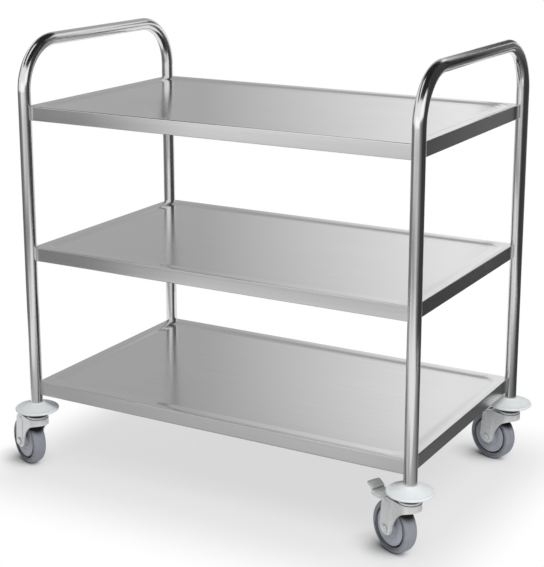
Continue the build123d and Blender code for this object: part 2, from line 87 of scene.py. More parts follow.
# Sizes of the pressings, mouldings and fixings
NEAR = 1e-6
SAME = 1e-7
SHARP_DEG = 32.0
SLIP = 0.0001
SUNK = 0.001
EDGE_BREAK = 0.0003
EDGE_ROUND = 0.0005
BEND_R = 0.095
TUBE_WALL = 0.0012
SHEET_T = 0.001
FOLD_R = 0.0016
RETURN_W = 0.008
RIM_W = 0.016
DISH_DEPTH = 0.004
DISH_SLOPE = 0.014
DISH_CORNER_R = 0.032
DISH_BLEND = 0.0065
POST_GAP = 0.0003
SEAT_D = TUBE_R + 0.001
BRACKET_T = 0.002
WASHER_T = 0.0012
WASHER_W = 0.003
SHELF_BOLT_R = 0.003
SHELF_BOLT_FLATS = 0.010
SHELF_BOLT_HEAD = 0.004
SHELF_BOLT_REACH = 0.009
WHEEL_W = 0.027
WHEEL_R = 0.050
TYRE_SHOULDER_R = 0.0085
RIM_LIP_W = 0.001
GROOVE_W = 0.004
GROOVE_DEPTH = 0.008
HUB_BORE = 0.00615
BOSS_R = 0.013
BOSS_GAP = 0.0005
HUB_SET_IN = 0.0015
KINGPIN_R = 0.005
KINGPIN_HEAD_R = 0.010
KINGPIN_HEAD_T = 0.003
STEM_R = 0.006
RACE_T = 0.003
RACE_SKIRT_T = 0.0015
BALL_COUNT = 16
BALL_RING_R = RACE_R - 0.006
FORK_OUT = 0.022
FORK_IN = 0.019
FORK_T = FORK_OUT - FORK_IN
FORK_BEND_R = 0.004
FORK_LIP_H = 0.013
FORK_EDGE_R = 0.050
LEG_PAD_H = 0.0012
LEG_PAD_TIP_R = FORK_TIP_R - 0.0045
EAR_R = 0.016
LEG_PAD_EAR_R = EAR_R - 0.0040
EAR_AHEAD = 0.003
CROWN_AHEAD = 0.006
AXLE_R = 0.004
AXLE_FLATS = 0.013
AXLE_HEAD_H = 0.0053
AXLE_NUT_H = 0.007
NUT_HEX_H = AXLE_NUT_H * 0.72
NUT_COLLAR_R = AXLE_FLATS / 2 * 0.9
THREAD_PAST_NUT = 0.002
THREAD_PITCH = 0.00125
THREAD_DEPTH = 0.0005
COLLAR_FLATS = 0.022
LEVER_HALF = 0.015
LEVER_T = 0.002
LEVER_BEND_R = LEVER_T + 0.0006
LEVER_EYE_R = 0.005
LEVER_PLATE_START = 0.010
LEVER_RELIEF = 0.0003
LEVER_REACH = 0.048
LEVER_FLANGE_H = 0.008
PEDAL_RISE = 0.006
PEDAL_L = 0.016
PEDAL_TILT = math.radians(30)
PEDAL_LIP_H = 0.004
PEDAL_CORNER_R = 0.005
PIN_R = 0.002
PIN_HEAD_R = 0.004
PIN_HEAD_T = 0.002
RIVET_R = 0.0022
RIVET_PLACES = (0.0285, 0.0370)
SHOE_FRONT = 0.014
SHOE_REAR = 0.030
SHOE_HALF = 0.011
SHOE_GAP = 0.0003


# Modelling tools

def only(made, kind):
    """The vertices, the edges or the faces among what an operator made."""
    return [item for item in made if isinstance(item, kind)]


def at_angle(angle):
    """A step of length 1 in a flat drawing."""
    return Vector((math.cos(angle), math.sin(angle)))


def draw_out(bm, edges, way):
    """Extrudes edges along a direction and returns the new edges at the far end."""
    made = bmesh.ops.extrude_edge_only(bm, edges=edges)["geom"]
    bmesh.ops.translate(bm, vec=way, verts=only(made, BMVert))
    return only(made, BMEdge)


def swing(bm, edges, centre, axis, angle, steps):
    """Spins edges about an axis and returns the edges at the far end."""
    verts = {vert for edge in edges for vert in edge.verts}
    made = bmesh.ops.spin(bm, geom=[*verts, *edges], cent=centre, axis=axis, angle=angle, steps=steps)
    return only(made["geom_last"], BMEdge)


def arc_from(bm, vert, centre, axis, angle, steps):
    """Draws a chain of edges from a vertex round a centre and returns the last vertex."""
    return bmesh.ops.spin(bm, geom=[vert], cent=centre, axis=axis, angle=angle, steps=steps)["geom_last"][0]


def round_corners(bm, verts, size, segments=4):
    bmesh.ops.bevel(
        bm, geom=verts, offset=size, offset_type="OFFSET", affect="VERTICES",
        segments=segments, profile=0.5, material=-1,
    )


def round_edges(bm, edges, size, segments=3):
    bmesh.ops.bevel(
        bm, geom=edges, offset=size, offset_type="OFFSET", affect="EDGES",
        segments=segments, profile=0.5, material=-1, clamp_overlap=True,
    )


def sharp_edges(bm, degrees):
    """Edges where two faces meet at more than an angle."""
    limit = math.radians(degrees)
    return [edge for edge in bm.edges if len(edge.link_faces) == 2 and edge.calc_face_angle() > limit]


def tidy_shell(bm):
    """Joins doubled points and turns the faces outwards."""
    bmesh.ops.remove_doubles(bm, verts=bm.verts[:], dist=NEAR)
    bmesh.ops.dissolve_degenerate(bm, edges=bm.edges[:], dist=SAME)
    bmesh.ops.recalc_face_normals(bm, faces=bm.faces[:])


def both_ends(half):
    """A section's upper half and its mirror image below."""
    return [*half, *((radius, -height, rounding) for radius, height, rounding in reversed(half))]


def turned(section, steps):
    """Spins a closed section of (radius, height, corner rounding) points about Z."""
    bm = bmesh.new()
    corners = [bm.verts.new((radius, 0, height)) for radius, height, _ in section]
    bm.faces.new(corners)
    for size in sorted({rounding for _, _, rounding in section if rounding}):
        round_corners(bm, [v for v, point in zip(corners, section) if point[2] == size], size)
    bmesh.ops.delete(bm, geom=bm.faces[:], context="FACES_ONLY")
    on_axis = [edge for edge in bm.edges if all(vert.co.x < SAME for vert in edge.verts)]
    bmesh.ops.delete(bm, geom=on_axis, context="EDGES")
    bmesh.ops.spin(
        bm, geom=bm.verts[:] + bm.edges[:], cent=(0, 0, 0), axis=(0, 0, 1),
        angle=math.tau, steps=steps, use_merge=True,
    )
    tidy_shell(bm)
    return bm


def hexagon(bm, flats, low, high, place=None):
    """Adds a hexagon head whose top corners are turned off to a cone."""
    sides, per_side = 6, 4
    cone = math.tan(math.radians(30))
    inner = flats / 2 * 0.94
    before = set(bm.verts)
    bmesh.ops.create_circle(bm, cap_ends=True, segments=sides * per_side, radius=flats / 2)
    ring = [vert for vert in bm.verts if vert not in before]
    for vert in ring:
        turn = math.atan2(vert.co.y, vert.co.x) % (math.tau / sides) - math.pi / sides
        vert.co *= 1 / math.cos(turn)
        vert.co.z = low
    face = ring[0].link_faces[0]
    top = bmesh.ops.extrude_face_region(bm, geom=[face])["geom"]
    top_face = only(top, BMFace)[0]
    for vert in only(top, BMVert):
        vert.co.z = high - (vert.co.to_2d().length - inner) * cone
    bmesh.ops.inset_region(bm, faces=[top_face], thickness=flats * 0.02)
    for vert in top_face.verts:
        vert.co *= inner / vert.co.to_2d().length
        vert.co.z = high
    made = [vert for vert in bm.verts if vert not in before]
    bmesh.ops.recalc_face_normals(bm, faces=list({f for v in made for f in v.link_faces}))
    if place:
        bmesh.ops.transform(bm, matrix=place, verts=made)


def add_turned(bm, section, place=None, steps=24):
    """Adds a spun section to a mesh that already holds other shapes."""
    part = turned(section, steps)
    if place:
        bmesh.ops.transform(part, matrix=place, verts=part.verts)
    join(bm, part)


def join(bm, part):
    """Moves one mesh's shapes into another."""
    mesh = to_mesh(part, "spare")
    bm.from_mesh(mesh)
    bpy.data.meshes.remove(mesh)


def to_mesh(bm, name):
    """Ends the modelling and gives the finished mesh."""
    mesh = bpy.data.meshes.new(name)
    bm.to_mesh(mesh)
    bm.free()
    return mesh


def put_in_scene(name, data):
    """Makes an object of a mesh, a lamp or a camera."""
    made = bpy.data.objects.new(name, data)
    bpy.context.scene.collection.objects.link(made)
    return made


def lay_uv(bm, rule):
    """Gives every face corner its place on the surface, in metres, by a rule."""
    bm.normal_update()
    layer = bm.loops.layers.uv.new("surface")
    for face in bm.faces:
        middle = face.calc_center_median()
        for loop in face.loops:
            loop[layer].uv = rule(face, middle, loop.vert.co)


def unwound(angle, near):
    """An angle moved by whole turns to lie near another."""
    return near + (angle - near + math.pi) % math.tau - math.pi


def turned_uv(face, middle, place):
    """U goes round the Z axis and V along the section."""
    near = math.atan2(middle.y, middle.x)
    return unwound(math.atan2(place.y, place.x), near) * WHEEL_R, place.to_2d().length + place.z


def ring_uv(face, middle, place):
    """U goes round the Z axis and V out from it."""
    around, section = turned_uv(face, middle, place)
    return around, section - place.z


def sheet_uv(face, middle, place):
    """The sheet unfolded, so that its grain runs on over the folds."""
    if abs(face.normal.x) > 0.7:
        return place.z, place.y
    if abs(face.normal.y) > 0.7:
        return place.x, place.z
    return place.x, place.y


def tube_uv(face, middle, place):
    """U follows the bent tube from its foot and V goes round it."""
    straight = HANDLE_Z - BEND_R
    out = abs(place.y) - (POST_Y - BEND_R)
    up = place.z - straight
    if up <= 0:
        along, lift = place.z, abs(place.y) - POST_Y
    elif out > 0:
        along, lift = straight + BEND_R * math.atan2(up, out), math.hypot(up, out) - BEND_R
    else:
        along, lift = straight + BEND_R * math.pi / 2 - out, place.z - HANDLE_Z
    centre = math.copysign(POST_X, place.x)
    return along, math.atan2(lift, place.x - centre) * TUBE_R


def add_part(bm, node, body, slot, place=None):
    """Makes a modelled mesh the piece for a node, in the finish of its slot, and moves it with its body."""
    name = f"{node}_detail"
    if place:
        bmesh.ops.transform(bm, matrix=place, verts=bm.verts)
    mesh = to_mesh(bm, name)
    mesh.shade_smooth()
    mesh.set_sharp_from_angle(angle=math.radians(SHARP_DEG))
    mesh.materials.append(FINISHES[slot])
    piece = put_in_scene(name, mesh)
    shading = piece.modifiers.new("flat_faces_stay_flat", "WEIGHTED_NORMAL")
    shading.keep_sharp = True
    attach(piece, body)
    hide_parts(node)


# Finishes

def feed(finish, socket, value):
    """Sets an input to a value, or links it to another node's output."""
    if isinstance(value, bpy.types.NodeSocket):
        finish.node_tree.links.new(value, socket)
    else:
        socket.default_value = value


def set_inputs(finish, made, **inputs):
    """Feeds the inputs of a node, named as in the editor."""
    for key, value in inputs.items():
        feed(finish, made.inputs[key.replace("_", " ")], value)


def node(finish, kind, settings=(), **inputs):
    """Adds a shader node with its settings and its inputs."""
    made = finish.node_tree.nodes.new(kind)
    for key, value in dict(settings).items():
        setattr(made, key, value)
    set_inputs(finish, made, **inputs)
    return made


def calculated(finish, operation, *values):
    """The result of a Math node."""
    made = node(finish, "ShaderNodeMath", {"operation": operation})
    for socket, value in zip(made.inputs, values):
        feed(finish, socket, value)
    return made.outputs["Value"]


def grain(finish, stretch, source="Object", detail=4.0):
    """Noise on the piece's own coordinates, stretched along each axis."""
    places = node(finish, "ShaderNodeTexCoord")
    mapped = node(finish, "ShaderNodeMapping", Vector=places.outputs[source], Scale=stretch)
    noise = node(
        finish, "ShaderNodeTexNoise", Vector=mapped.outputs["Vector"],
        Scale=1.0, Detail=detail, Roughness=0.55,
    )
    return noise.outputs["Fac"]


def spread(finish, value, low, high, start=0.3, end=0.7):
    """Carries a noise from its usual range to another range."""
    return node(
        finish, "ShaderNodeMapRange", Value=value, From_Min=start, From_Max=end, To_Min=low, To_Max=high
    ).outputs["Result"]


def shade(finish, factor, dark, light, start=0.3, end=0.7):
    """Runs from one colour to another with a noise."""
    ramp = node(finish, "ShaderNodeValToRGB", Fac=factor)
    for stop, place, colour in zip(ramp.color_ramp.elements, (start, end), (dark, light)):
        stop.position = place
        stop.color = (*colour, 1)
    return ramp.outputs["Color"]


def dusted_and_shaded(finish, clean, dust_and_shade, factor):
    """A colour with a darker colour mixed in by a factor: real dust in one use, painted shade in the others."""
    mix = node(finish, "ShaderNodeMix", {"data_type": "RGBA"}, Factor=factor)
    feed(finish, mix.inputs[6], clean)
    feed(finish, mix.inputs[7], (*dust_and_shade, 1))
    return mix.outputs[2]


def closed_in(finish, reach, start, end):
    """1 where other faces close a surface in within a reach, and 0 where it lies open; the mask for painted shade.
    """
    open_share = node(finish, "ShaderNodeAmbientOcclusion", {"samples": 8}, Distance=reach).outputs["AO"]
    return spread(finish, open_share, 1.0, 0.0, start, end)


def bump(finish, height, strength, distance):
    """The fine relief of a noise."""
    relief = node(finish, "ShaderNodeBump", Height=height, Strength=strength, Distance=distance)
    return relief.outputs["Normal"]


def new_finish(name, **inputs):
    """A Principled finish with its even values set on the shader itself."""
    finish = bpy.data.materials.new(name)
    finish.use_nodes = True
    shader = finish.node_tree.nodes["Principled BSDF"]
    set_inputs(finish, shader, **inputs)
    return finish, shader


def polished_tube():
    """Stainless tube polished to a mirror, with faint lines left along its length."""
    finish, shader = new_finish("polished_tube", Metallic=1.0)
    lines = grain(finish, (6, 900, 1), "UV", detail=3)
    smears = grain(finish, (9, 9, 9), detail=3)
    set_inputs(
        finish, shader, Base_Color=shade(finish, smears, (0.70, 0.70, 0.70), (0.76, 0.76, 0.755)),
        Roughness=spread(finish, smears, 0.15, 0.20), Normal=bump(finish, lines, 0.04, 0.0004),
    )
    return finish


def satin_sheet():
    """Stainless sheet ground along its length, so that reflections are drawn out across the strokes."""
    finish, shader = new_finish("satin_sheet", Metallic=1.0, Anisotropic=0.5, Anisotropic_Rotation=0.25)
    along_strokes = node(finish, "ShaderNodeTangent", {"direction_type": "UV_MAP", "uv_map": "surface"})
    strokes = grain(finish, (3, 260, 1), "UV")
    handling = grain(finish, (4, 6, 4), detail=2)
    set_inputs(
        finish, shader, Tangent=along_strokes.outputs["Tangent"],
        Base_Color=shade(finish, strokes, (0.69, 0.69, 0.695), (0.735, 0.735, 0.735)),
        Roughness=spread(finish, handling, 0.16, 0.19), Normal=bump(finish, strokes, 0.03, 0.0002),
    )
    return finish


def speckled(name, scale, dark, light, rough, relief=None, **inputs):
    """A finish whose colour, gloss and relief follow one fine noise."""
    finish, shader = new_finish(name, **inputs)
    specks = grain(finish, (scale, scale, scale))
    colour, gloss = shade(finish, specks, dark, light), spread(finish, specks, *rough)
    set_inputs(finish, shader, Base_Color=colour, Roughness=gloss)
    if relief:
        set_inputs(finish, shader, Normal=bump(finish, specks, *relief))
    return finish


def zinc_steel():
    """Pressed steel under bright zinc with a soft mottle, and painted shade, near black, wherever other faces
    close it in, as round the swivel bearing.
    """
    finish, shader = new_finish("zinc_steel", Metallic=0.28)
    mottle = grain(finish, (160, 160, 160), detail=5)
    fine = grain(finish, (1500, 1500, 1500), detail=2)
    zinc = shade(finish, mottle, (0.77, 0.785, 0.785), (0.86, 0.87, 0.87))
    # Painted shade: the zinc darkens to near black where other faces lie within 3 cm, as under the bumper round
    # the swivel bearing
    painted_shade = closed_in(finish, 0.03, 0.42, 0.70)
    set_inputs(
        finish, shader, Base_Color=dusted_and_shaded(finish, zinc, (0.08, 0.08, 0.08), painted_shade),
        Roughness=spread(finish, mottle, 0.30, 0.44), Normal=bump(finish, fine, 0.08, 0.0002),
    )
    return finish


def moulding(name, dark, light, rough, pits):
    """A moulded plastic with slight clouding and a fine eroded grain."""
    finish, shader = new_finish(name)
    clouds = grain(finish, (45, 45, 45), detail=3)
    fine = grain(finish, (pits, pits, pits), detail=2)
    set_inputs(
        finish, shader, Base_Color=shade(finish, clouds, dark, light),
        Roughness=spread(finish, fine, rough - 0.06, rough + 0.08), Normal=bump(finish, fine, 0.12, 0.0002),
    )
    return finish


def wheel_moulding():
    """The wheel centre's grey moulding, with painted shade turning its ring groove black."""
    finish = moulding("hub_plastic", (0.38, 0.40, 0.45), (0.44, 0.46, 0.52), 0.40, 1600)
    colour = finish.node_tree.nodes["Principled BSDF"].inputs["Base Color"]
    places = node(finish, "ShaderNodeTexCoord")
    radius = node(finish, "ShaderNodeSeparateXYZ", Vector=places.outputs["UV"]).outputs["Y"]
    middle = RIM_R - RIM_LIP_W - GROOVE_W / 2
    away = calculated(finish, "ABSOLUTE", calculated(finish, "SUBTRACT", radius, middle))
    # Painted shade: the faces of the ring groove are coloured near black
    painted_groove_shade = spread(finish, away, 1.0, 0.0, GROOVE_W / 2 - 0.0004, GROOVE_W / 2 + 0.0003)
    feed(finish, colour, dusted_and_shaded(finish, colour.links[0].from_socket, (0.018, 0.018, 0.026), painted_groove_shade))
    return finish


def tyre_rubber():
    """Grey non-marking rubber, scuffed round the tread, dusty, and painted black with shade on its upward faces
    where the fork closes over them.
    """
    finish, shader = new_finish("tyre_rubber")
    scuffs = grain(finish, (60, 900, 1), "UV", detail=5)
    dust = grain(finish, (120, 120, 120), detail=5)
    pores = grain(finish, (2200, 2200, 2200), detail=2)
    worn = shade(finish, scuffs, (0.235, 0.248, 0.282), (0.295, 0.310, 0.350))
    dusty = dusted_and_shaded(finish, worn, (0.34, 0.345, 0.36), spread(finish, dust, 0.0, 0.25, 0.45, 0.75))
    # Painted shade: upward-facing rubber that other faces close in, as up under the fork, turns near black
    facing = node(finish, "ShaderNodeNewGeometry").outputs["Normal"]
    height = node(finish, "ShaderNodeSeparateXYZ", Vector=facing).outputs["Z"]
    upwards = spread(finish, height, 0.0, 1.0, -0.1, 0.15)
    painted_fork_shade = calculated(finish, "MULTIPLY", closed_in(finish, 0.05, 0.62, 0.86), upwards)
    set_inputs(
        finish, shader, Base_Color=dusted_and_shaded(finish, dusty, (0.012, 0.012, 0.014), painted_fork_shade),
        Roughness=spread(finish, dust, 0.5, 0.7), Normal=bump(finish, pores, 0.15, 0.0002),
    )
    return finish


FINISHES = {
    "polished_tube": polished_tube(),
    "satin_sheet": satin_sheet(),
    # Bolts and washers, dull from the tool that made them
    "stainless_fixings": speckled(
        "stainless_fixings", 700, (0.55, 0.55, 0.56), (0.68, 0.68, 0.68), (0.22, 0.4), (0.1, 0.0002),
        Metallic=1.0,
    ),
    "zinc_steel": zinc_steel(),
    # Hard ground steel with a trace of grease
    "bearing_steel": speckled(
        "bearing_steel", 260, (0.42, 0.41, 0.39), (0.60, 0.60, 0.60), (0.12, 0.3), Metallic=1.0
    ),
    "bumper_plastic": moulding("bumper_plastic", (0.72, 0.75, 0.765), (0.77, 0.80, 0.81), 0.42, 1800),
    "hub_plastic": wheel_moulding(),
    "insert_plastic": moulding("insert_plastic", (0.012, 0.012, 0.013), (0.025, 0.025, 0.026), 0.45, 1200),
    "tyre_rubber": tyre_rubber(),
    # Black moulded rubber with a dry bloom
    "brake_rubber": speckled(
        "brake_rubber", 300, (0.02, 0.02, 0.021), (0.05, 0.05, 0.052), (0.55, 0.75), (0.2, 0.0003)
    ),
}


# End frames and shelves

def end_frame(side):
    """One tube bent to an upside-down U, drawn out from the front foot to the rear one."""
    bm = bmesh.new()
    x = side * POST_X
    bend_y = POST_Y - BEND_R
    bend_z = HANDLE_Z - BEND_R
    foot = Matrix.Translation((x, -POST_Y, FOOT_Z))
    bmesh.ops.create_circle(bm, segments=48, radius=TUBE_R, matrix=foot)
    end = draw_out(bm, bm.edges[:], (0, 0, bend_z - FOOT_Z))
    end = swing(bm, end, (x, -bend_y, bend_z), (1, 0, 0), -math.pi / 2, 28)
    end = draw_out(bm, end, (0, 2 * bend_y, 0))
    end = swing(bm, end, (x, bend_y, bend_z), (1, 0, 0), -math.pi / 2, 28)
    draw_out(bm, end, (0, 0, FOOT_Z - bend_z))
    tidy_shell(bm)
    bmesh.ops.solidify(bm, geom=bm.faces[:], thickness=TUBE_WALL)
    lay_uv(bm, tube_uv)
    return bm


def notched_outline(bm, half_x, height):
    """Draws a shelf's outline, hollowed round each post, and returns its four straight edges."""
    gap_r = TUBE_R + POST_GAP
    inset = POST_X - half_x
    reach = math.sqrt(gap_r ** 2 - inset ** 2)
    turn = math.atan2(inset, reach) - math.atan2(reach, inset)
    arcs = []
    for quarter, (side_x, side_y) in enumerate(QUARTERS):
        post = Vector((side_x * POST_X, side_y * POST_Y, height))
        start = Matrix.Rotation(quarter * math.pi / 2, 3, "Z") @ Vector((inset, reach, 0))
        first = bm.verts.new(post + start)
        arcs.append((first, arc_from(bm, first, post, (0, 0, 1), turn, 8)))
    return [bm.edges.new((arcs[n][1], arcs[(n + 1) % 4][0])) for n in range(4)]


def rounded_plate(bm, half_x, half_y, radius, height):
    """Adds a flat face with rounded corners and returns it."""
    before = set(bm.faces)
    corners = [bm.verts.new((x * half_x, y * half_y, height)) for x, y in QUARTERS]
    bm.faces.new(corners)
    round_corners(bm, corners, radius, 8)
    return (set(bm.faces) - before).pop()


def shelf(name):
    """A tray pressed from one sheet: dished floor, flat rim, folded sides and inward returns."""
    low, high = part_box(name)
    bm = bmesh.new()
    folds = notched_outline(bm, high.x, high.z)
    outline = bm.edges[:]
    dish_x, dish_y = high.x - RIM_W, high.y - RIM_W
    mouth = rounded_plate(bm, dish_x, dish_y, DISH_CORNER_R, high.z)
    mouth_edges = list(mouth.edges)
    bmesh.ops.delete(bm, geom=[mouth], context="FACES_ONLY")
    floor = rounded_plate(
        bm, dish_x - DISH_SLOPE, dish_y - DISH_SLOPE, DISH_CORNER_R - DISH_SLOPE, high.z - DISH_DEPTH
    )
    floor_edges = list(floor.edges)
    bmesh.ops.bridge_loops(bm, edges=outline + mouth_edges)
    bmesh.ops.bridge_loops(bm, edges=mouth_edges + floor_edges)
    feet = draw_out(bm, folds, (0, 0, low.z - high.z))
    for edge in feet:
        middle = (edge.verts[0].co + edge.verts[1].co) / 2
        inward = Vector((-middle.x, 0, 0)) if abs(middle.x) > abs(middle.y) else Vector((0, -middle.y, 0))
        draw_out(bm, [edge], inward.normalized() * (RETURN_W + SHEET_T))
    bmesh.ops.recalc_face_normals(bm, faces=bm.faces[:])
    if max(bm.faces, key=lambda face: face.calc_area()).normal.z < 0:
        bmesh.ops.reverse_faces(bm, faces=bm.faces[:])
    round_edges(bm, mouth_edges + floor_edges, DISH_BLEND, 6)
    round_edges(bm, [e for e in folds + feet if e.is_valid], FOLD_R, 4)
    bmesh.ops.solidify(bm, geom=bm.faces[:], thickness=SHEET_T)
    lay_uv(bm, sheet_uv)
    return bm


# Shelf corner fixings

def bolt_places():
    """On each post's axis at each shelf, with Z along the diagonal towards the shelf's middle."""
    for name in SHELVES:
        low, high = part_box(name)
        for side_x, side_y in ((-1, -1), (-1, 1), (1, -1), (1, 1)):
            way = Vector((-side_x, -side_y, 0)).normalized()
            turn = way.to_track_quat("Z", "Y").to_matrix().to_4x4()
            yield Matrix.Translation((side_x * POST_X, side_y * POST_Y, (low.z + high.z) / 2)) @ turn


def corner_brackets():
    """Plates across the shelf corners, with their edges broken."""
    bm = bmesh.new()
    low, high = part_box("top_shelf")
    top_gap = FOLD_R - SHEET_T
    height = high.z - low.z - 2 * SHEET_T - top_gap
    fold_in = (POST_X - high.x + SHEET_T) * math.sqrt(2)
    for place in bolt_places():
        plate = bmesh.ops.create_cube(bm, size=1.0)["verts"]
        for vert in plate:
            depth = SEAT_D + (0.5 + vert.co.z) * BRACKET_T
            upright = place.to_3x3().inverted() @ Vector((0, 0, 1))
            across = upright.cross(Vector((0, 0, 1)))
            up, side = vert.co.y, vert.co.x
            vert.co = across * (2 * side * (depth - fold_in)) + Vector((0, 0, depth))
            vert.co += upright * (up * height - top_gap / 2)
        edges = list({edge for vert in plate for edge in vert.link_edges})
        bmesh.ops.transform(bm, matrix=place, verts=plate)
        round_edges(bm, edges, EDGE_BREAK, 2)
    bmesh.ops.recalc_face_normals(bm, faces=bm.faces[:])
    lay_uv(bm, sheet_uv)
    return bm


def shelf_bolts():
    """Hexagon bolts through the brackets into the posts."""
    bm = bmesh.new()
    seat = SEAT_D + BRACKET_T + WASHER_T
    for place in bolt_places():
        hexagon(bm, SHELF_BOLT_FLATS, seat, seat + SHELF_BOLT_HEAD, place)
        tip = SEAT_D - SHELF_BOLT_REACH
        shank = [
            (0, tip, 0), (SHELF_BOLT_R, tip, 0.0006),
            (SHELF_BOLT_R, seat + SUNK, 0), (0, seat + SUNK, 0),
        ]
        add_turned(bm, shank, place)
    return bm


def shelf_washers():
    """Flat washers between the bolt heads and the brackets."""
    bm = bmesh.new()
    bore = SHELF_BOLT_R + SLIP
    rim = bore + WASHER_W
    low, high = SEAT_D + BRACKET_T, SEAT_D + BRACKET_T + WASHER_T
    ring = [(bore, low, 0), (rim, low, EDGE_BREAK), (rim, high, EDGE_BREAK), (bore, high, 0.0002)]
    for place in bolt_places():
        add_turned(bm, ring, place, 32)
    return bm


# Casters, each in its own axes: X trails from the swivel axis, Y runs along the axle and Z points up

def caster_place(corner):
    """From a caster's own axes to the trolley's."""
    post = Vector(joints[f"{corner}_swivel_turn"]["pos_m"])
    trail = Vector(joints[f"{corner}_wheel_turn"]["pos_m"]) - post
    return Matrix.Translation((post.x, post.y, 0)) @ Matrix.Rotation(math.atan2(trail.y, trail.x), 4, "Z")


def along_axle(u, z):
    """From a spun piece's own Z axis to a line along the axle."""
    return Matrix.Translation((u, 0, z)) @ Matrix.Rotation(-math.pi / 2, 4, "X")


def bumper():
    """A round-edged disc with a raised, hollow underside and a ledge round the post's foot."""
    low, high = bumper_low.z, bumper_high.z
    bore = STEM_R + SLIP
    rim_low, rim_high = low + 0.0042, low + 0.0095
    slope_top = TUBE_R + 0.003
    sag = Vector(((BUMPER_R - 0.00475 + slope_top) / 2 - 0.0007, (rim_high + high) / 2 - 0.0014))
    section = [
        (bore, low, 0), (0.0145, low, 0.0006), (0.0155, low + 0.006, 0.0012),
        (BUMPER_R - 0.010, rim_low + 0.003, 0.0012), (BUMPER_R - 0.009, rim_low, 0.0006),
        (BUMPER_R, rim_low, 0.0025), (BUMPER_R, rim_high, 0.0025),
        (BUMPER_R - 0.006, rim_high + 0.0004, 0.001), (sag.x, sag.y, 0.008),
        (slope_top, high - 0.0012, 0.0008), (slope_top - 0.0004, high, 0.0004), (bore, high, 0),
    ]
    bm = turned(section, 128)
    lay_uv(bm, turned_uv)
    return bm


def stem():
    """The swivel stem: peened kingpin head, hexagon collar and the shank up into the post."""
    bm = bmesh.new()
    head_top = stem_low.z + KINGPIN_HEAD_T
    section = [
        (0, stem_low.z, 0), (KINGPIN_HEAD_R, stem_low.z, 0.0014), (KINGPIN_HEAD_R, head_top, 0.0004),
        (KINGPIN_R, head_top, 0), (KINGPIN_R, race_high.z, 0), (STEM_R, race_high.z, 0),
        (STEM_R, stem_high.z, 0.001), (0, stem_high.z, 0),
    ]
    add_turned(bm, section, steps=32)
    hexagon(bm, COLLAR_FLATS, race_high.z, bumper_low.z)
    return bm


def upper_race():
    """The fixed bearing cup with its rolled dust skirt."""
    bore, skirt_in = KINGPIN_R + SLIP, RACE_R - RACE_SKIRT_T
    under = race_high.z - RACE_T
    section = [
        (bore, under, 0), (skirt_in, under, 0.0005), (skirt_in, race_low.z, 0.0004),
        (RACE_R, race_low.z, 0.0004), (RACE_R, race_high.z, 0.0016),
        (RACE_R - 0.006, race_high.z, 0), (bore, race_high.z, 0),
    ]
    return turned(section, 72)


def swivel_balls():
    """The ring of balls that the fork's crown turns on, under the fixed cup."""
    bm = bmesh.new()
    for n in range(BALL_COUNT):
        turn = Matrix.Rotation(n * math.tau / BALL_COUNT, 4, "Z")
        place = turn @ Matrix.Translation((BALL_RING_R, 0, BALL_Z))
        bmesh.ops.create_uvsphere(bm, u_segments=20, v_segments=12, radius=BALL_R, matrix=place)
    return bm


def fork_edge(lip):
    """Centre and end of the arch from the front lip, which runs smoothly into the round of a leg's tip."""
    tip = Vector((TRAIL, LEG_END_Z))
    back = lip - tip
    reach = FORK_EDGE_R + FORK_TIP_R
    along = (reach ** 2 - FORK_EDGE_R ** 2 + back.length_squared) / (2 * back.length)
    to_lip = back.normalized()
    ahead = Vector((-to_lip.y, to_lip.x))
    centre = tip + to_lip * along + ahead * math.sqrt(reach ** 2 - along ** 2)
    touch = tip + (centre - tip) * FORK_TIP_R / reach
    return centre, touch


def turn_between(centre, start, end):
    """The short way round a centre from one point to another, in the caster's side view."""
    a, b = start - centre, end - centre
    return math.atan2(a.x * b.y - a.y * b.x, a.dot(b))


def side_arc(bm, vert, centre, end, steps, angle=None):
    """Draws an arc in the plane of a fork's leg, round a centre to an end point."""
    start = Vector((vert.co.x, vert.co.z))
    turn = turn_between(centre, start, end) if angle is None else angle
    return arc_from(bm, vert, (centre.x, vert.co.y, centre.y), (0, -1, 0), turn, steps)


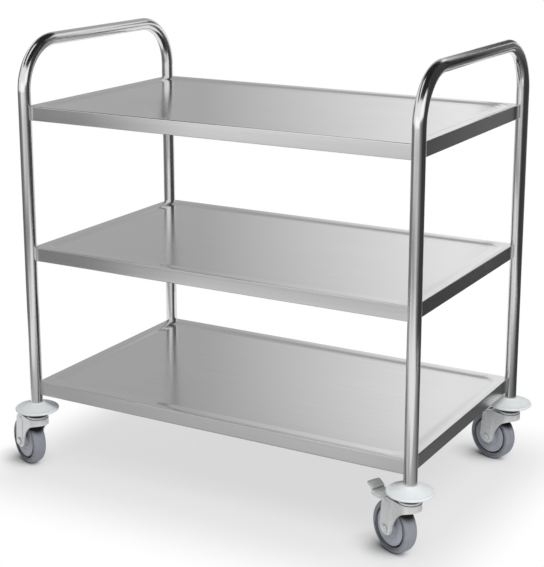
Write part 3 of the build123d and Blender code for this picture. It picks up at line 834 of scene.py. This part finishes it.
def fork():
    """A pressed fork: the legs drawn flat, the front wall spun between them and the crown on top."""
    bm = bmesh.new()
    lip = Vector((-FORK_OUT, CROWN_Z - FORK_LIP_H))
    edge_centre, touch = fork_edge(lip)
    tip = Vector((TRAIL, LEG_END_Z))
    ear = Vector((TRAIL - EAR_AHEAD, CROWN_Z - EAR_R))
    axis = ear - tip
    lean = math.atan2(axis.y, axis.x) - math.acos((FORK_TIP_R - EAR_R) / axis.length)
    away = at_angle(lean)
    crown_back = TRAIL - CROWN_AHEAD

    def edge_height(u):
        return edge_centre.y + math.sqrt(FORK_EDGE_R ** 2 - (u - edge_centre.x) ** 2)

    first = bm.verts.new((0, FORK_OUT, edge_height(0)))
    vert = side_arc(bm, first, edge_centre, touch, 10)
    heel = tip + away * FORK_TIP_R
    tip_turn = turn_between(tip, touch, heel) % math.tau
    vert = side_arc(bm, vert, tip, heel, 20, tip_turn)
    nape = bm.verts.new((ear.x + away.x * EAR_R, FORK_OUT, ear.y + away.y * EAR_R))
    bm.edges.new((vert, nape))
    vert = side_arc(bm, nape, ear, ear + Vector((0, EAR_R)), 10)
    crown_side = bm.verts.new((crown_back, FORK_OUT, CROWN_Z))
    bm.edges.new((vert, crown_side))
    crown_front = bm.verts.new((0, FORK_OUT, CROWN_Z))
    bm.edges.new((crown_side, crown_front))
    front = bm.edges.new((crown_front, first))
    bmesh.ops.contextual_create(bm, geom=bm.edges[:])
    bmesh.ops.mirror(bm, geom=bm.verts[:] + bm.edges[:] + bm.faces[:], axis="Y", merge_dist=-1)
    swing(bm, [front], (0, 0, 0), (0, 0, 1), math.pi, 20)
    for vert in bm.verts:
        if vert.co.x < -NEAR and vert.co.z < CROWN_Z - NEAR:
            vert.co.z = edge_height(vert.co.x)
    bmesh.ops.remove_doubles(bm, verts=bm.verts[:], dist=NEAR)
    bend = [
        edge for edge in bm.edges
        if all(v.co.z > CROWN_Z - NEAR and v.co.x < crown_back + NEAR for v in edge.verts)
    ]
    rear = [v for v in bm.verts if abs(v.co.x - crown_back) < NEAR and v.co.z > CROWN_Z - NEAR]
    bmesh.ops.contextual_create(bm, geom=bend + [bm.edges.new(rear)])
    tidy_shell(bm)
    if max(bm.faces, key=lambda face: face.calc_center_median().z).normal.z < 0:
        bmesh.ops.reverse_faces(bm, faces=bm.faces[:])
    round_edges(bm, bend, FORK_BEND_R, 5)
    bmesh.ops.solidify(bm, geom=bm.faces[:], thickness=FORK_T)
    round_edges(bm, sharp_edges(bm, 60), EDGE_ROUND, 2)
    for side in (-1, 1):
        join(bm, leg_pad(tip, ear, side))
    return bm


def leg_pad(tip, ear, side):
    """The stiffening pad pressed out of a leg's outer face, from its tip to its ear."""
    pad = bmesh.new()
    axis = ear - tip
    heading = math.atan2(axis.y, axis.x)
    opening = math.acos((LEG_PAD_TIP_R - LEG_PAD_EAR_R) / axis.length)

    def on_round(centre, radius, turn, rise):
        place = centre + radius * at_angle(turn)
        return pad.verts.new((place.x, side * (FORK_OUT + rise), place.y))

    for rise, draft in ((-SUNK, 0), (LEG_PAD_H, LEG_PAD_H)):
        first = on_round(tip, LEG_PAD_TIP_R - draft, heading + opening, rise)
        low = side_arc(pad, first, tip, None, 20, math.tau - 2 * opening)
        high = on_round(ear, LEG_PAD_EAR_R - draft, heading - opening, rise)
        last = side_arc(pad, high, ear, None, 20, 2 * opening)
        pad.edges.new((low, high))
        pad.edges.new((last, first))
    loops = pad.edges[:]
    bmesh.ops.bridge_loops(pad, edges=loops)
    bmesh.ops.holes_fill(pad, edges=loops, sides=0)
    bmesh.ops.recalc_face_normals(pad, faces=pad.faces[:])
    return pad


def axle_bolt():
    """A hexagon bolt through both legs, with a chamfered thread end."""
    bm = bmesh.new()
    hexagon(bm, AXLE_FLATS, FORK_OUT, FORK_OUT + AXLE_HEAD_H)
    end = -FORK_OUT - AXLE_NUT_H - THREAD_PAST_NUT
    section = [(0, end, 0), (AXLE_R, end, 0.0008)]
    crest = end + 0.0012
    while crest < -FORK_OUT - AXLE_NUT_H + THREAD_PITCH:
        section += [(AXLE_R, crest, 0), (AXLE_R - THREAD_DEPTH, crest + THREAD_PITCH / 2, 0)]
        crest += THREAD_PITCH
    section += [(AXLE_R, crest, 0), (AXLE_R, FORK_OUT + SUNK, 0), (0, FORK_OUT + SUNK, 0)]
    add_turned(bm, section, steps=32)
    return bm


def axle_nut():
    """A locking nut: a hexagon with a rounded collar that holds its insert."""
    bm = bmesh.new()
    flip = Matrix.Rotation(math.pi, 4, "X")
    bore, hex_top, end = AXLE_R + SLIP, FORK_OUT + NUT_HEX_H, FORK_OUT + AXLE_NUT_H
    hexagon(bm, AXLE_FLATS, FORK_OUT, hex_top, flip)
    collar = [
        (bore, hex_top - SUNK, 0), (NUT_COLLAR_R, hex_top - SUNK, 0),
        (NUT_COLLAR_R, end, 0.0012), (bore, end, 0.0004),
    ]
    add_turned(bm, collar, flip, 40)
    return bm


def hub():
    """A moulded wheel centre: boss, shallow face, moulded step and a deep groove inside the rim lip."""
    boss, face = FORK_IN - BOSS_GAP, WHEEL_W / 2 - HUB_SET_IN
    groove_out = RIM_R - RIM_LIP_W
    groove_in = groove_out - GROOVE_W
    groove_floor = face - GROOVE_DEPTH
    half = [
        (HUB_BORE, boss, 0.0004), (BOSS_R - 0.001, boss, 0.0006), (BOSS_R, face - 0.001, 0.0012),
        (BOSS_R + 0.008, face - 0.0012, 0.0008), (BOSS_R + 0.009, face, 0.0008),
        (groove_in, face, 0.0008), (groove_in - 0.0004, groove_floor, 0.0006),
        (groove_out, groove_floor, 0.0006), (groove_out, face, 0.0003), (RIM_R, face, 0.0003),
    ]
    bm = turned(both_ends(half), 96)
    lay_uv(bm, ring_uv)
    return bm


def tyre():
    """A pressed-on tyre with rounded shoulders, a mould line and a fine ring on each wall."""
    half, ring = WHEEL_W / 2, WHEEL_W / 2 - 0.0004
    wall = [
        (RIM_R, half, 0.0006), (RIM_R + 0.0022, half, 0.0003), (RIM_R + 0.0024, ring, 0.0002),
        (RIM_R + 0.0032, ring, 0.0002), (RIM_R + 0.0034, half, 0.0003),
        (WHEEL_R - 0.0003, half, TYRE_SHOULDER_R), (WHEEL_R, 0.0004, 0.0002),
    ]
    bm = turned(both_ends(wall), 144)
    lay_uv(bm, turned_uv)
    return bm


def brake_lever():
    """A channel pressing on the brake pin, stepped up to a tilted and lipped foot pedal."""
    bm = bmesh.new()
    start, riser = PIN_U + LEVER_PLATE_START, PIN_U + LEVER_REACH - LEVER_T
    pin = Vector((PIN_U, PIN_Z))
    heel = bm.verts.new((riser, LEVER_HALF, PIN_Z))
    neck = bm.verts.new((start, LEVER_HALF, PIN_Z))
    relief = bm.verts.new((start, LEVER_HALF, PIN_Z - LEVER_BEND_R - LEVER_RELIEF))
    step = bm.verts.new((PIN_U + LEVER_REACH / 2, LEVER_HALF, PIN_Z - LEVER_FLANGE_H))
    foot = bm.verts.new((riser, LEVER_HALF, PIN_Z - LEVER_FLANGE_H))

    def tangent_turn(vert, side):
        """Where a line from a point touches the eye, as an angle round the pin."""
        out = Vector((vert.co.x, vert.co.z)) - pin
        return math.atan2(out.y, out.x) + side * math.acos(LEVER_EYE_R / out.length)

    brow_turn, chin_turn = tangent_turn(relief, 1), tangent_turn(step, -1)
    brow = pin + LEVER_EYE_R * at_angle(brow_turn)
    brow_vert = bm.verts.new((brow.x, LEVER_HALF, brow.y))
    chin = side_arc(bm, brow_vert, pin, None, 16, chin_turn - brow_turn + math.tau)
    for a, b in ((heel, neck), (neck, relief), (relief, brow_vert), (chin, step), (step, foot), (foot, heel)):
        bm.edges.new((a, b))
    bmesh.ops.contextual_create(bm, geom=bm.edges[:])
    bmesh.ops.mirror(bm, geom=bm.verts[:] + bm.edges[:] + bm.faces[:], axis="Y", merge_dist=-1)
    sides = [
        e for e in bm.edges if all(abs(v.co.z - PIN_Z) < NEAR and v.co.x > start - NEAR for v in e.verts)
    ]
    plate = bmesh.ops.bridge_loops(bm, edges=sides)["faces"][0]
    back = [e for e in plate.edges if all(abs(v.co.x - riser) < NEAR for v in e.verts)]
    along = Vector((math.cos(PEDAL_TILT), 0, math.sin(PEDAL_TILT)))
    down = Vector((math.sin(PEDAL_TILT), 0, -math.cos(PEDAL_TILT)))
    step_up = draw_out(bm, back, (0, 0, PEDAL_RISE))
    tread_end = draw_out(bm, step_up, along * PEDAL_L)
    round_corners(bm, list(tread_end[0].verts), PEDAL_CORNER_R, 5)
    tread_start = Vector((riser, 0, PIN_Z + PEDAL_RISE)).dot(along) - NEAR
    toe = [e for e in bm.edges if e.is_boundary and all(v.co.dot(along) > tread_start for v in e.verts)]
    draw_out(bm, toe, down * PEDAL_LIP_H)
    tidy_shell(bm)
    if plate.is_valid and plate.normal.z < 0:
        bmesh.ops.reverse_faces(bm, faces=bm.faces[:])
    round_edges(bm, [e for e in sides + back + step_up + toe if e.is_valid], LEVER_BEND_R, 4)
    bmesh.ops.solidify(bm, geom=bm.faces[:], thickness=LEVER_T)
    round_edges(bm, sharp_edges(bm, 60), EDGE_BREAK, 2)
    rivet = [(0, 0, 0), (RIVET_R, 0, 0), (RIVET_R, 0.0007, 0.0006), (0, 0.0011, 0)]
    for back_from_pin in RIVET_PLACES:
        add_turned(bm, rivet, Matrix.Translation((PIN_U + back_from_pin, 0, PIN_Z)), 24)
    return bm


def brake_shoe():
    """A rubber block under the lever, hollowed to the tyre as it stands with the pedal down."""
    bm = bmesh.new()
    press = math.radians(joints["front_right_brake_press"]["range_deg"][1])
    wheel = Vector((TRAIL - PIN_U, AXLE_Z - PIN_Z))
    wheel = Vector((
        PIN_U + wheel.x * math.cos(press) - wheel.y * math.sin(press),
        PIN_Z + wheel.x * math.sin(press) + wheel.y * math.cos(press),
    ))
    reach = WHEEL_R + SHOE_GAP
    front, rear, top = PIN_U + SHOE_FRONT, PIN_U + SHOE_REAR, PIN_Z - LEVER_T

    def on_tyre(u):
        return wheel.y + math.sqrt(reach ** 2 - (u - wheel.x) ** 2)

    low = bm.verts.new((front, -SHOE_HALF, on_tyre(front)))
    last = side_arc(bm, low, wheel, Vector((rear, on_tyre(rear))), 12)
    rear_top = bm.verts.new((rear, -SHOE_HALF, top))
    front_top = bm.verts.new((front, -SHOE_HALF, top))
    for a, b in ((last, rear_top), (rear_top, front_top), (front_top, low)):
        bm.edges.new((a, b))
    face = bmesh.ops.contextual_create(bm, geom=bm.edges[:])["faces"]
    made = bmesh.ops.extrude_face_region(bm, geom=face)["geom"]
    bmesh.ops.translate(bm, vec=(0, 2 * SHOE_HALF, 0), verts=only(made, BMVert))
    tidy_shell(bm)
    round_edges(bm, sharp_edges(bm, 40), EDGE_ROUND, 2)
    return bm


def brake_pin():
    """A pin through both fork ears with domed, riveted ends."""
    end = FORK_OUT + PIN_HEAD_T
    half = [
        (PIN_R, FORK_OUT, 0), (PIN_HEAD_R, FORK_OUT, EDGE_BREAK),
        (PIN_HEAD_R - 0.0004, end, 0.0013), (0, end, 0),
    ]
    return turned(both_ends(half), 32)


for side, side_name in ((-1, "left"), (1, "right")):
    add_part(end_frame(side), f"{side_name}_end_frame", "trolley", "polished_tube")
for shelf_name in SHELVES:
    add_part(shelf(shelf_name), shelf_name, "trolley", "satin_sheet")
add_part(corner_brackets(), "corner_brackets", "trolley", "satin_sheet")
add_part(shelf_bolts(), "shelf_bolts", "trolley", "stainless_fixings")
add_part(shelf_washers(), "shelf_washers", "trolley", "stainless_fixings")

AXLE_LINE = along_axle(TRAIL, AXLE_Z)
PIN_LINE = along_axle(PIN_U, PIN_Z)
for corner in CORNERS:
    floor_place = caster_place(corner)
    swivel_body, wheel_body = f"{corner}_swivel", f"{corner}_wheel"
    add_part(bumper(), f"{corner}_bumper", "trolley", "bumper_plastic", floor_place)
    add_part(stem(), f"{corner}_stem", "trolley", "zinc_steel", floor_place)
    add_part(upper_race(), f"{corner}_upper_race", "trolley", "zinc_steel", floor_place)
    add_part(swivel_balls(), f"{corner}_swivel_balls", "trolley", "bearing_steel", floor_place)
    add_part(fork(), f"{corner}_fork", swivel_body, "zinc_steel", floor_place)
    add_part(axle_bolt(), f"{corner}_axle_bolt", swivel_body, "zinc_steel", floor_place @ AXLE_LINE)
    add_part(axle_nut(), f"{corner}_axle_nut", swivel_body, "zinc_steel", floor_place @ AXLE_LINE)
    add_part(hub(), f"{corner}_hub", wheel_body, "hub_plastic", floor_place @ AXLE_LINE)
    add_part(tyre(), f"{corner}_tyre", wheel_body, "tyre_rubber", floor_place @ AXLE_LINE)
    if corner in BRAKED:
        add_part(brake_lever(), f"{corner}_brake_lever", f"{corner}_brake", "zinc_steel", floor_place)
        add_part(brake_shoe(), f"{corner}_brake_shoe", f"{corner}_brake", "brake_rubber", floor_place)
        add_part(brake_pin(), f"{corner}_brake_pin", swivel_body, "zinc_steel", floor_place @ PIN_LINE)

# The pieces that stay hidden inside keep their solids and take their finishes
slots = {part["node"]: part["material_slot"] for part in frame["record"]["subparts"]}
for name, shown in frame["nodes"].items():
    if not shown.hide_render:
        shown.data.materials.clear()
        shown.data.materials.append(FINISHES[slots[name]])


# Studio

def emission(name, levels):
    """A glow that runs from one level to another along U, as a reflection shows it."""
    glow, shader = new_finish(name)
    nodes = glow.node_tree.nodes
    nodes.remove(shader)
    places = node(glow, "ShaderNodeTexCoord")
    along = node(glow, "ShaderNodeSeparateXYZ", Vector=places.outputs["UV"])
    level = spread(glow, along.outputs["X"], *levels, 0.0, 1.0)
    light = node(glow, "ShaderNodeEmission", Color=(1, 1, 1, 1), Strength=level)
    set_inputs(glow, nodes["Material Output"], Surface=light.outputs["Emission"])
    return glow


def card(name, start, end, rise, levels):
    """A sheet that only reflections see, drawn out from the line between two points."""
    start, end = Vector(start), Vector(end)
    along = end - start
    bm = bmesh.new()
    foot = bm.edges.new([bm.verts.new(start), bm.verts.new(end)])
    draw_out(bm, [foot], rise)
    lay_uv(bm, lambda face, middle, place: ((place - start).dot(along) / along.length_squared, 0))
    mesh = to_mesh(bm, name)
    mesh.materials.append(emission(name, levels))
    sheet = put_in_scene(name, mesh)
    sheet.visible_camera = False
    sheet.visible_diffuse = False
    sheet.visible_shadow = False


def seen_directly(owner):
    """1 for rays from the camera, a reflection or a see-through surface, and 0 for light on surfaces."""
    path = node(owner, "ShaderNodeLightPath")
    total = path.outputs["Is Camera Ray"]
    for name in ("Is Glossy Ray", "Is Transmission Ray"):
        total = calculated(owner, "MAXIMUM", total, path.outputs[name])
    return total


def studio_world(fill):
    """White where it is seen, and a softer fill where it lights the trolley."""
    world = bpy.data.worlds.new("studio")
    bpy.context.scene.world = world
    world.use_nodes = True
    level = spread(world, seen_directly(world), fill, 1.0, 0.0, 1.0)
    set_inputs(world, world.node_tree.nodes["Background"], Color=(1, 1, 1, 1), Strength=level)


def studio_floor(colour, footprint, fade, share, level, contact):
    """A pale floor that keeps the trolley's soft shadow, has a painted contact shadow dark beside the wheels, and
    runs out to white.

    Under the trolley a share of the floor glows at a lower level of its own, a painted soft shadow which evens the
    real shadow out.
    """
    bm = bmesh.new()
    bmesh.ops.create_grid(bm, x_segments=1, y_segments=1, size=30.0)
    mesh = to_mesh(bm, "floor")
    floor = put_in_scene("floor", mesh)
    paint, shader = new_finish("floor_paint", Roughness=0.9, Specular_IOR_Level=0.0)
    place = node(paint, "ShaderNodeTexCoord").outputs["Object"]
    nearness = (("ABSOLUTE", None), ("SUBTRACT", footprint), ("MAXIMUM", (0, 0, 0)), ("DIVIDE", fade))
    for operation, amount in nearness:
        step = node(paint, "ShaderNodeVectorMath", {"operation": operation})
        feed(paint, step.inputs[0], place)
        if amount:
            step.inputs[1].default_value = amount
        place = step.outputs["Vector"]
    beyond = node(paint, "ShaderNodeVectorMath", {"operation": "LENGTH"}, Vector=place)
    runs_out = node(
        paint, "ShaderNodeMapRange", {"interpolation_type": "SMOOTHSTEP"}, Value=beyond.outputs["Value"]
    ).outputs["Result"]
    # Painted soft shadow: the glow stays at the lower level over the footprint and rises to full white beyond it
    glow = spread(paint, runs_out, level, 1.0, 0.0, 1.0)
    white = node(paint, "ShaderNodeEmission", Color=(1, 1, 1, 1), Strength=glow)
    # Painted contact shadow: the floor's colour turns dark, and its glow gives way, where things close it in on
    # the way to the key light, which is up, to the right and a little to the front
    to_key = node(paint, "ShaderNodeCombineXYZ", X=0.80, Y=-0.15, Z=0.58).outputs["Vector"]
    open_to_light = node(
        paint, "ShaderNodeAmbientOcclusion", {"samples": 8}, Distance=contact, Normal=to_key
    )
    unshaded = spread(paint, open_to_light.outputs["AO"], 0.0, 1.0, 0.45, 0.95)
    set_inputs(paint, shader, Base_Color=shade(paint, unshaded, (0.18, 0.18, 0.19), colour, 0.0, 1.0))
    shown = seen_directly(paint)
    for part in (spread(paint, runs_out, share, 1.0, 0.0, 1.0), unshaded):
        shown = calculated(paint, "MULTIPLY", shown, part)
    both = node(paint, "ShaderNodeMixShader", Fac=shown)
    feed(paint, both.inputs[1], shader.outputs["BSDF"])
    feed(paint, both.inputs[2], white.outputs["Emission"])
    set_inputs(paint, paint.node_tree.nodes["Material Output"], Surface=both.outputs["Shader"])
    mesh.materials.append(paint)


def soft_light(name, place, target, size, power):
    """A large soft lamp that lights surfaces and stays out of reflections."""
    lamp = bpy.data.lights.new(name, "AREA")
    lamp.shape = "DISK"
    lamp.size = size
    lamp.energy = power
    light = put_in_scene(name, lamp)
    light.location = place
    light.rotation_euler = (Vector(target) - Vector(place)).to_track_quat("-Z", "Y").to_euler()
    light.visible_glossy = False


def photo_camera(place, yaw, pitch, focal_px, shift):
    """The photograph's viewpoint: yaw turns left from +Y and pitch looks down, in radians."""
    image_height = 567
    lens = bpy.data.cameras.new("photo_view")
    lens.sensor_width = 36.0
    lens.lens = focal_px / image_height * lens.sensor_width
    lens.shift_y = shift
    camera = put_in_scene("photo_view", lens)
    camera.location = place
    ahead = Vector((-math.sin(yaw) * math.cos(pitch), math.cos(yaw) * math.cos(pitch), -math.sin(pitch)))
    camera.rotation_euler = ahead.to_track_quat("-Z", "Y").to_euler()
    bpy.context.scene.camera = camera


# Name, both ends of a card's lower edge, the way from there to its other edge, and its glow at both ends
CARDS = (
    ("front_card", (0.00, -1.35, 0.08), (1.02, -1.55, 0.08), (0, 0, 0.50), (0.62, 0.62)),
    ("front_turn_card", (-0.70, -1.26, 0.0), (0.00, -1.35, 0.0), (0, 0, 0.58), (0.78, 0.70)),
    ("front_left_card", (-0.70, -1.26, 0.0), (-0.96, -1.20, 0.0), (0, 0, 0.60), (0.78, 0.28)),
    ("left_card", (-0.96, -1.20, 0.0), (-1.35, -0.55, 0.0), (0, 0, 0.68), (0.28, 0.14)),
    ("front_band_card", (-0.80, -1.20, 0.16), (0.20, -1.30, 0.16), (0, 0, 0.21), (0.28, 0.38)),
    ("front_band_end_card", (0.20, -1.30, 0.16), (0.62, -1.40, 0.16), (0, 0, 0.21), (0.38, 0.62)),
    ("left_side_card", (-1.35, -0.55, 0.0), (-1.50, 0.60, 0.0), (0, 0, 1.20), (0.16, 0.30)),
    ("front_wall", (-1.20, -1.90, 0.58), (1.30, -2.30, 0.58), (0, 0, 0.57), (1.3, 1.3)),
    ("front_high_wall", (-1.20, -1.90, 1.15), (1.30, -2.30, 1.15), (0, 0, 1.03), (1.05, 1.05)),
    ("right_wall", (1.30, -2.30, 0.85), (1.30, -0.60, 0.85), (0, 0, 1.1), (1.3, 1.2)),
    ("right_front_card", (1.02, -1.55, 0.15), (1.00, -0.35, 0.15), (0, 0, 0.70), (0.62, 0.05)),
    ("right_card", (1.00, -0.35, 0.22), (0.95, 0.15, 0.22), (0, 0, 2.1), (0.05, 0.05)),
    ("right_rear_card", (0.95, 0.15, 0.0), (0.72, 0.45, 0.0), (0, 0, 2.3), (0.05, 0.06)),
    ("right_end_low_card", (0.72, 0.45, 0.0), (0.72, 0.95, 0.0), (0, 0, 0.40), (0.06, 0.09)),
    ("right_end_card", (0.72, 0.45, 0.40), (0.72, 0.95, 0.40), (0, 0, 0.32), (0.09, 0.16)),
    ("right_end_dark_card", (0.72, 0.45, 0.72), (0.72, 0.68, 0.72), (0, 0, 1.58), (0.01, 0.01)),
    ("right_end_high_card", (0.72, 0.68, 0.72), (0.72, 0.95, 0.72), (0, 0, 1.58), (0.01, 0.24)),
    ("rear_end_low_card", (0.72, 0.95, 0.0), (0.66, 1.80, 0.0), (0, 0, 0.40), (0.09, 0.08)),
    ("rear_end_card", (0.72, 0.95, 0.40), (0.66, 1.80, 0.40), (0, 0, 0.28), (0.16, 0.15)),
    ("rear_end_high_card", (0.72, 0.95, 0.72), (0.70, 1.33, 0.72), (0, 0, 1.0), (0.07, 0.12)),
    ("rear_high_card", (-0.30, 1.86, 1.13), (-0.30, 1.86, 1.55), (1.00, 0, 0), (0.32, 0.01)),
    ("rear_dark_card", (-0.30, 1.86, 1.55), (0.70, 1.86, 1.55), (0, 0, 0.17), (0.01, 0.01)),
    ("rear_left_high_card", (0.05, 1.85, 1.55), (-1.21, 1.63, 1.55), (0, 0, 1.05), (0.48, 0.48)),
    ("floor_front_card", (-0.85, -0.42, 0.002), (0.15, -0.42, 0.002), (0, -0.45, 0), (0.40, 0.62)),
    ("floor_front_end_card", (0.15, -0.42, 0.002), (0.44, -0.42, 0.002), (0, -0.45, 0), (0.62, 0.42)),
    ("floor_left_card", (-0.85, -0.30, 0.002), (-1.40, -0.30, 0.002), (0, -0.9, 0), (0.30, 0.20)),
    ("floor_right_card", (0.44, -0.65, 0.002), (0.44, -0.05, 0.002), (1.2, 0, 0), (0.50, 0.20)),
    ("floor_rear_card", (0.44, -0.05, 0.002), (0.44, 1.60, 0.002), (1.2, 0, 0), (0.14, 0.06)),
    ("floor_near_card", (-0.55, -0.27, 0.003), (0.33, -0.27, 0.003), (0, -0.22, 0), (0.16, 0.12)),
    ("floor_under_card", (-0.30, -0.22, 0.003), (0.33, -0.22, 0.003), (0, 0.44, 0), (0.12, 0.12)),
    ("rear_left_card", (-0.37, 1.86, 0.0), (-1.21, 1.65, 0.0), (0, 0, 2.6), (1.0, 0.47)),
    ("left_rear_card", (-1.21, 1.65, 0.0), (-2.40, 1.05, 0.0), (0, 0, 2.6), (0.47, 0.47)),
    ("ceiling_card", (-2.00, -0.15, 2.3), (-2.00, 1.50, 2.3), (4.0, 0, 0), (0.02, 0.02)),
    ("ceiling_left_card", (-2.00, -1.80, 2.3), (-2.00, -0.15, 2.3), (1.05, 0, 0), (0.02, 0.02)),
    ("ceiling_right_card", (-0.40, -1.80, 2.3), (-0.40, -0.15, 2.3), (2.4, 0, 0), (0.02, 0.02)),
)

bpy.context.scene.view_settings.view_transform = "Standard"
studio_world(fill=0.46)
studio_floor(
    (0.93, 0.93, 0.94), footprint=(0.41, 0.24, 0), fade=(0.17, 0.25, 1), share=0.82, level=0.79, contact=0.06
)
soft_light("key", place=(1.7, -1.3, 2.6), target=(0.0, 0.0, 0.3), size=1.8, power=66.0)
for values in CARDS:
    card(*values)
photo_camera(place=(1.3517, -2.4054, 1.1889), yaw=0.5139, pitch=0.2424, focal_px=1430.3, shift=-0.10)
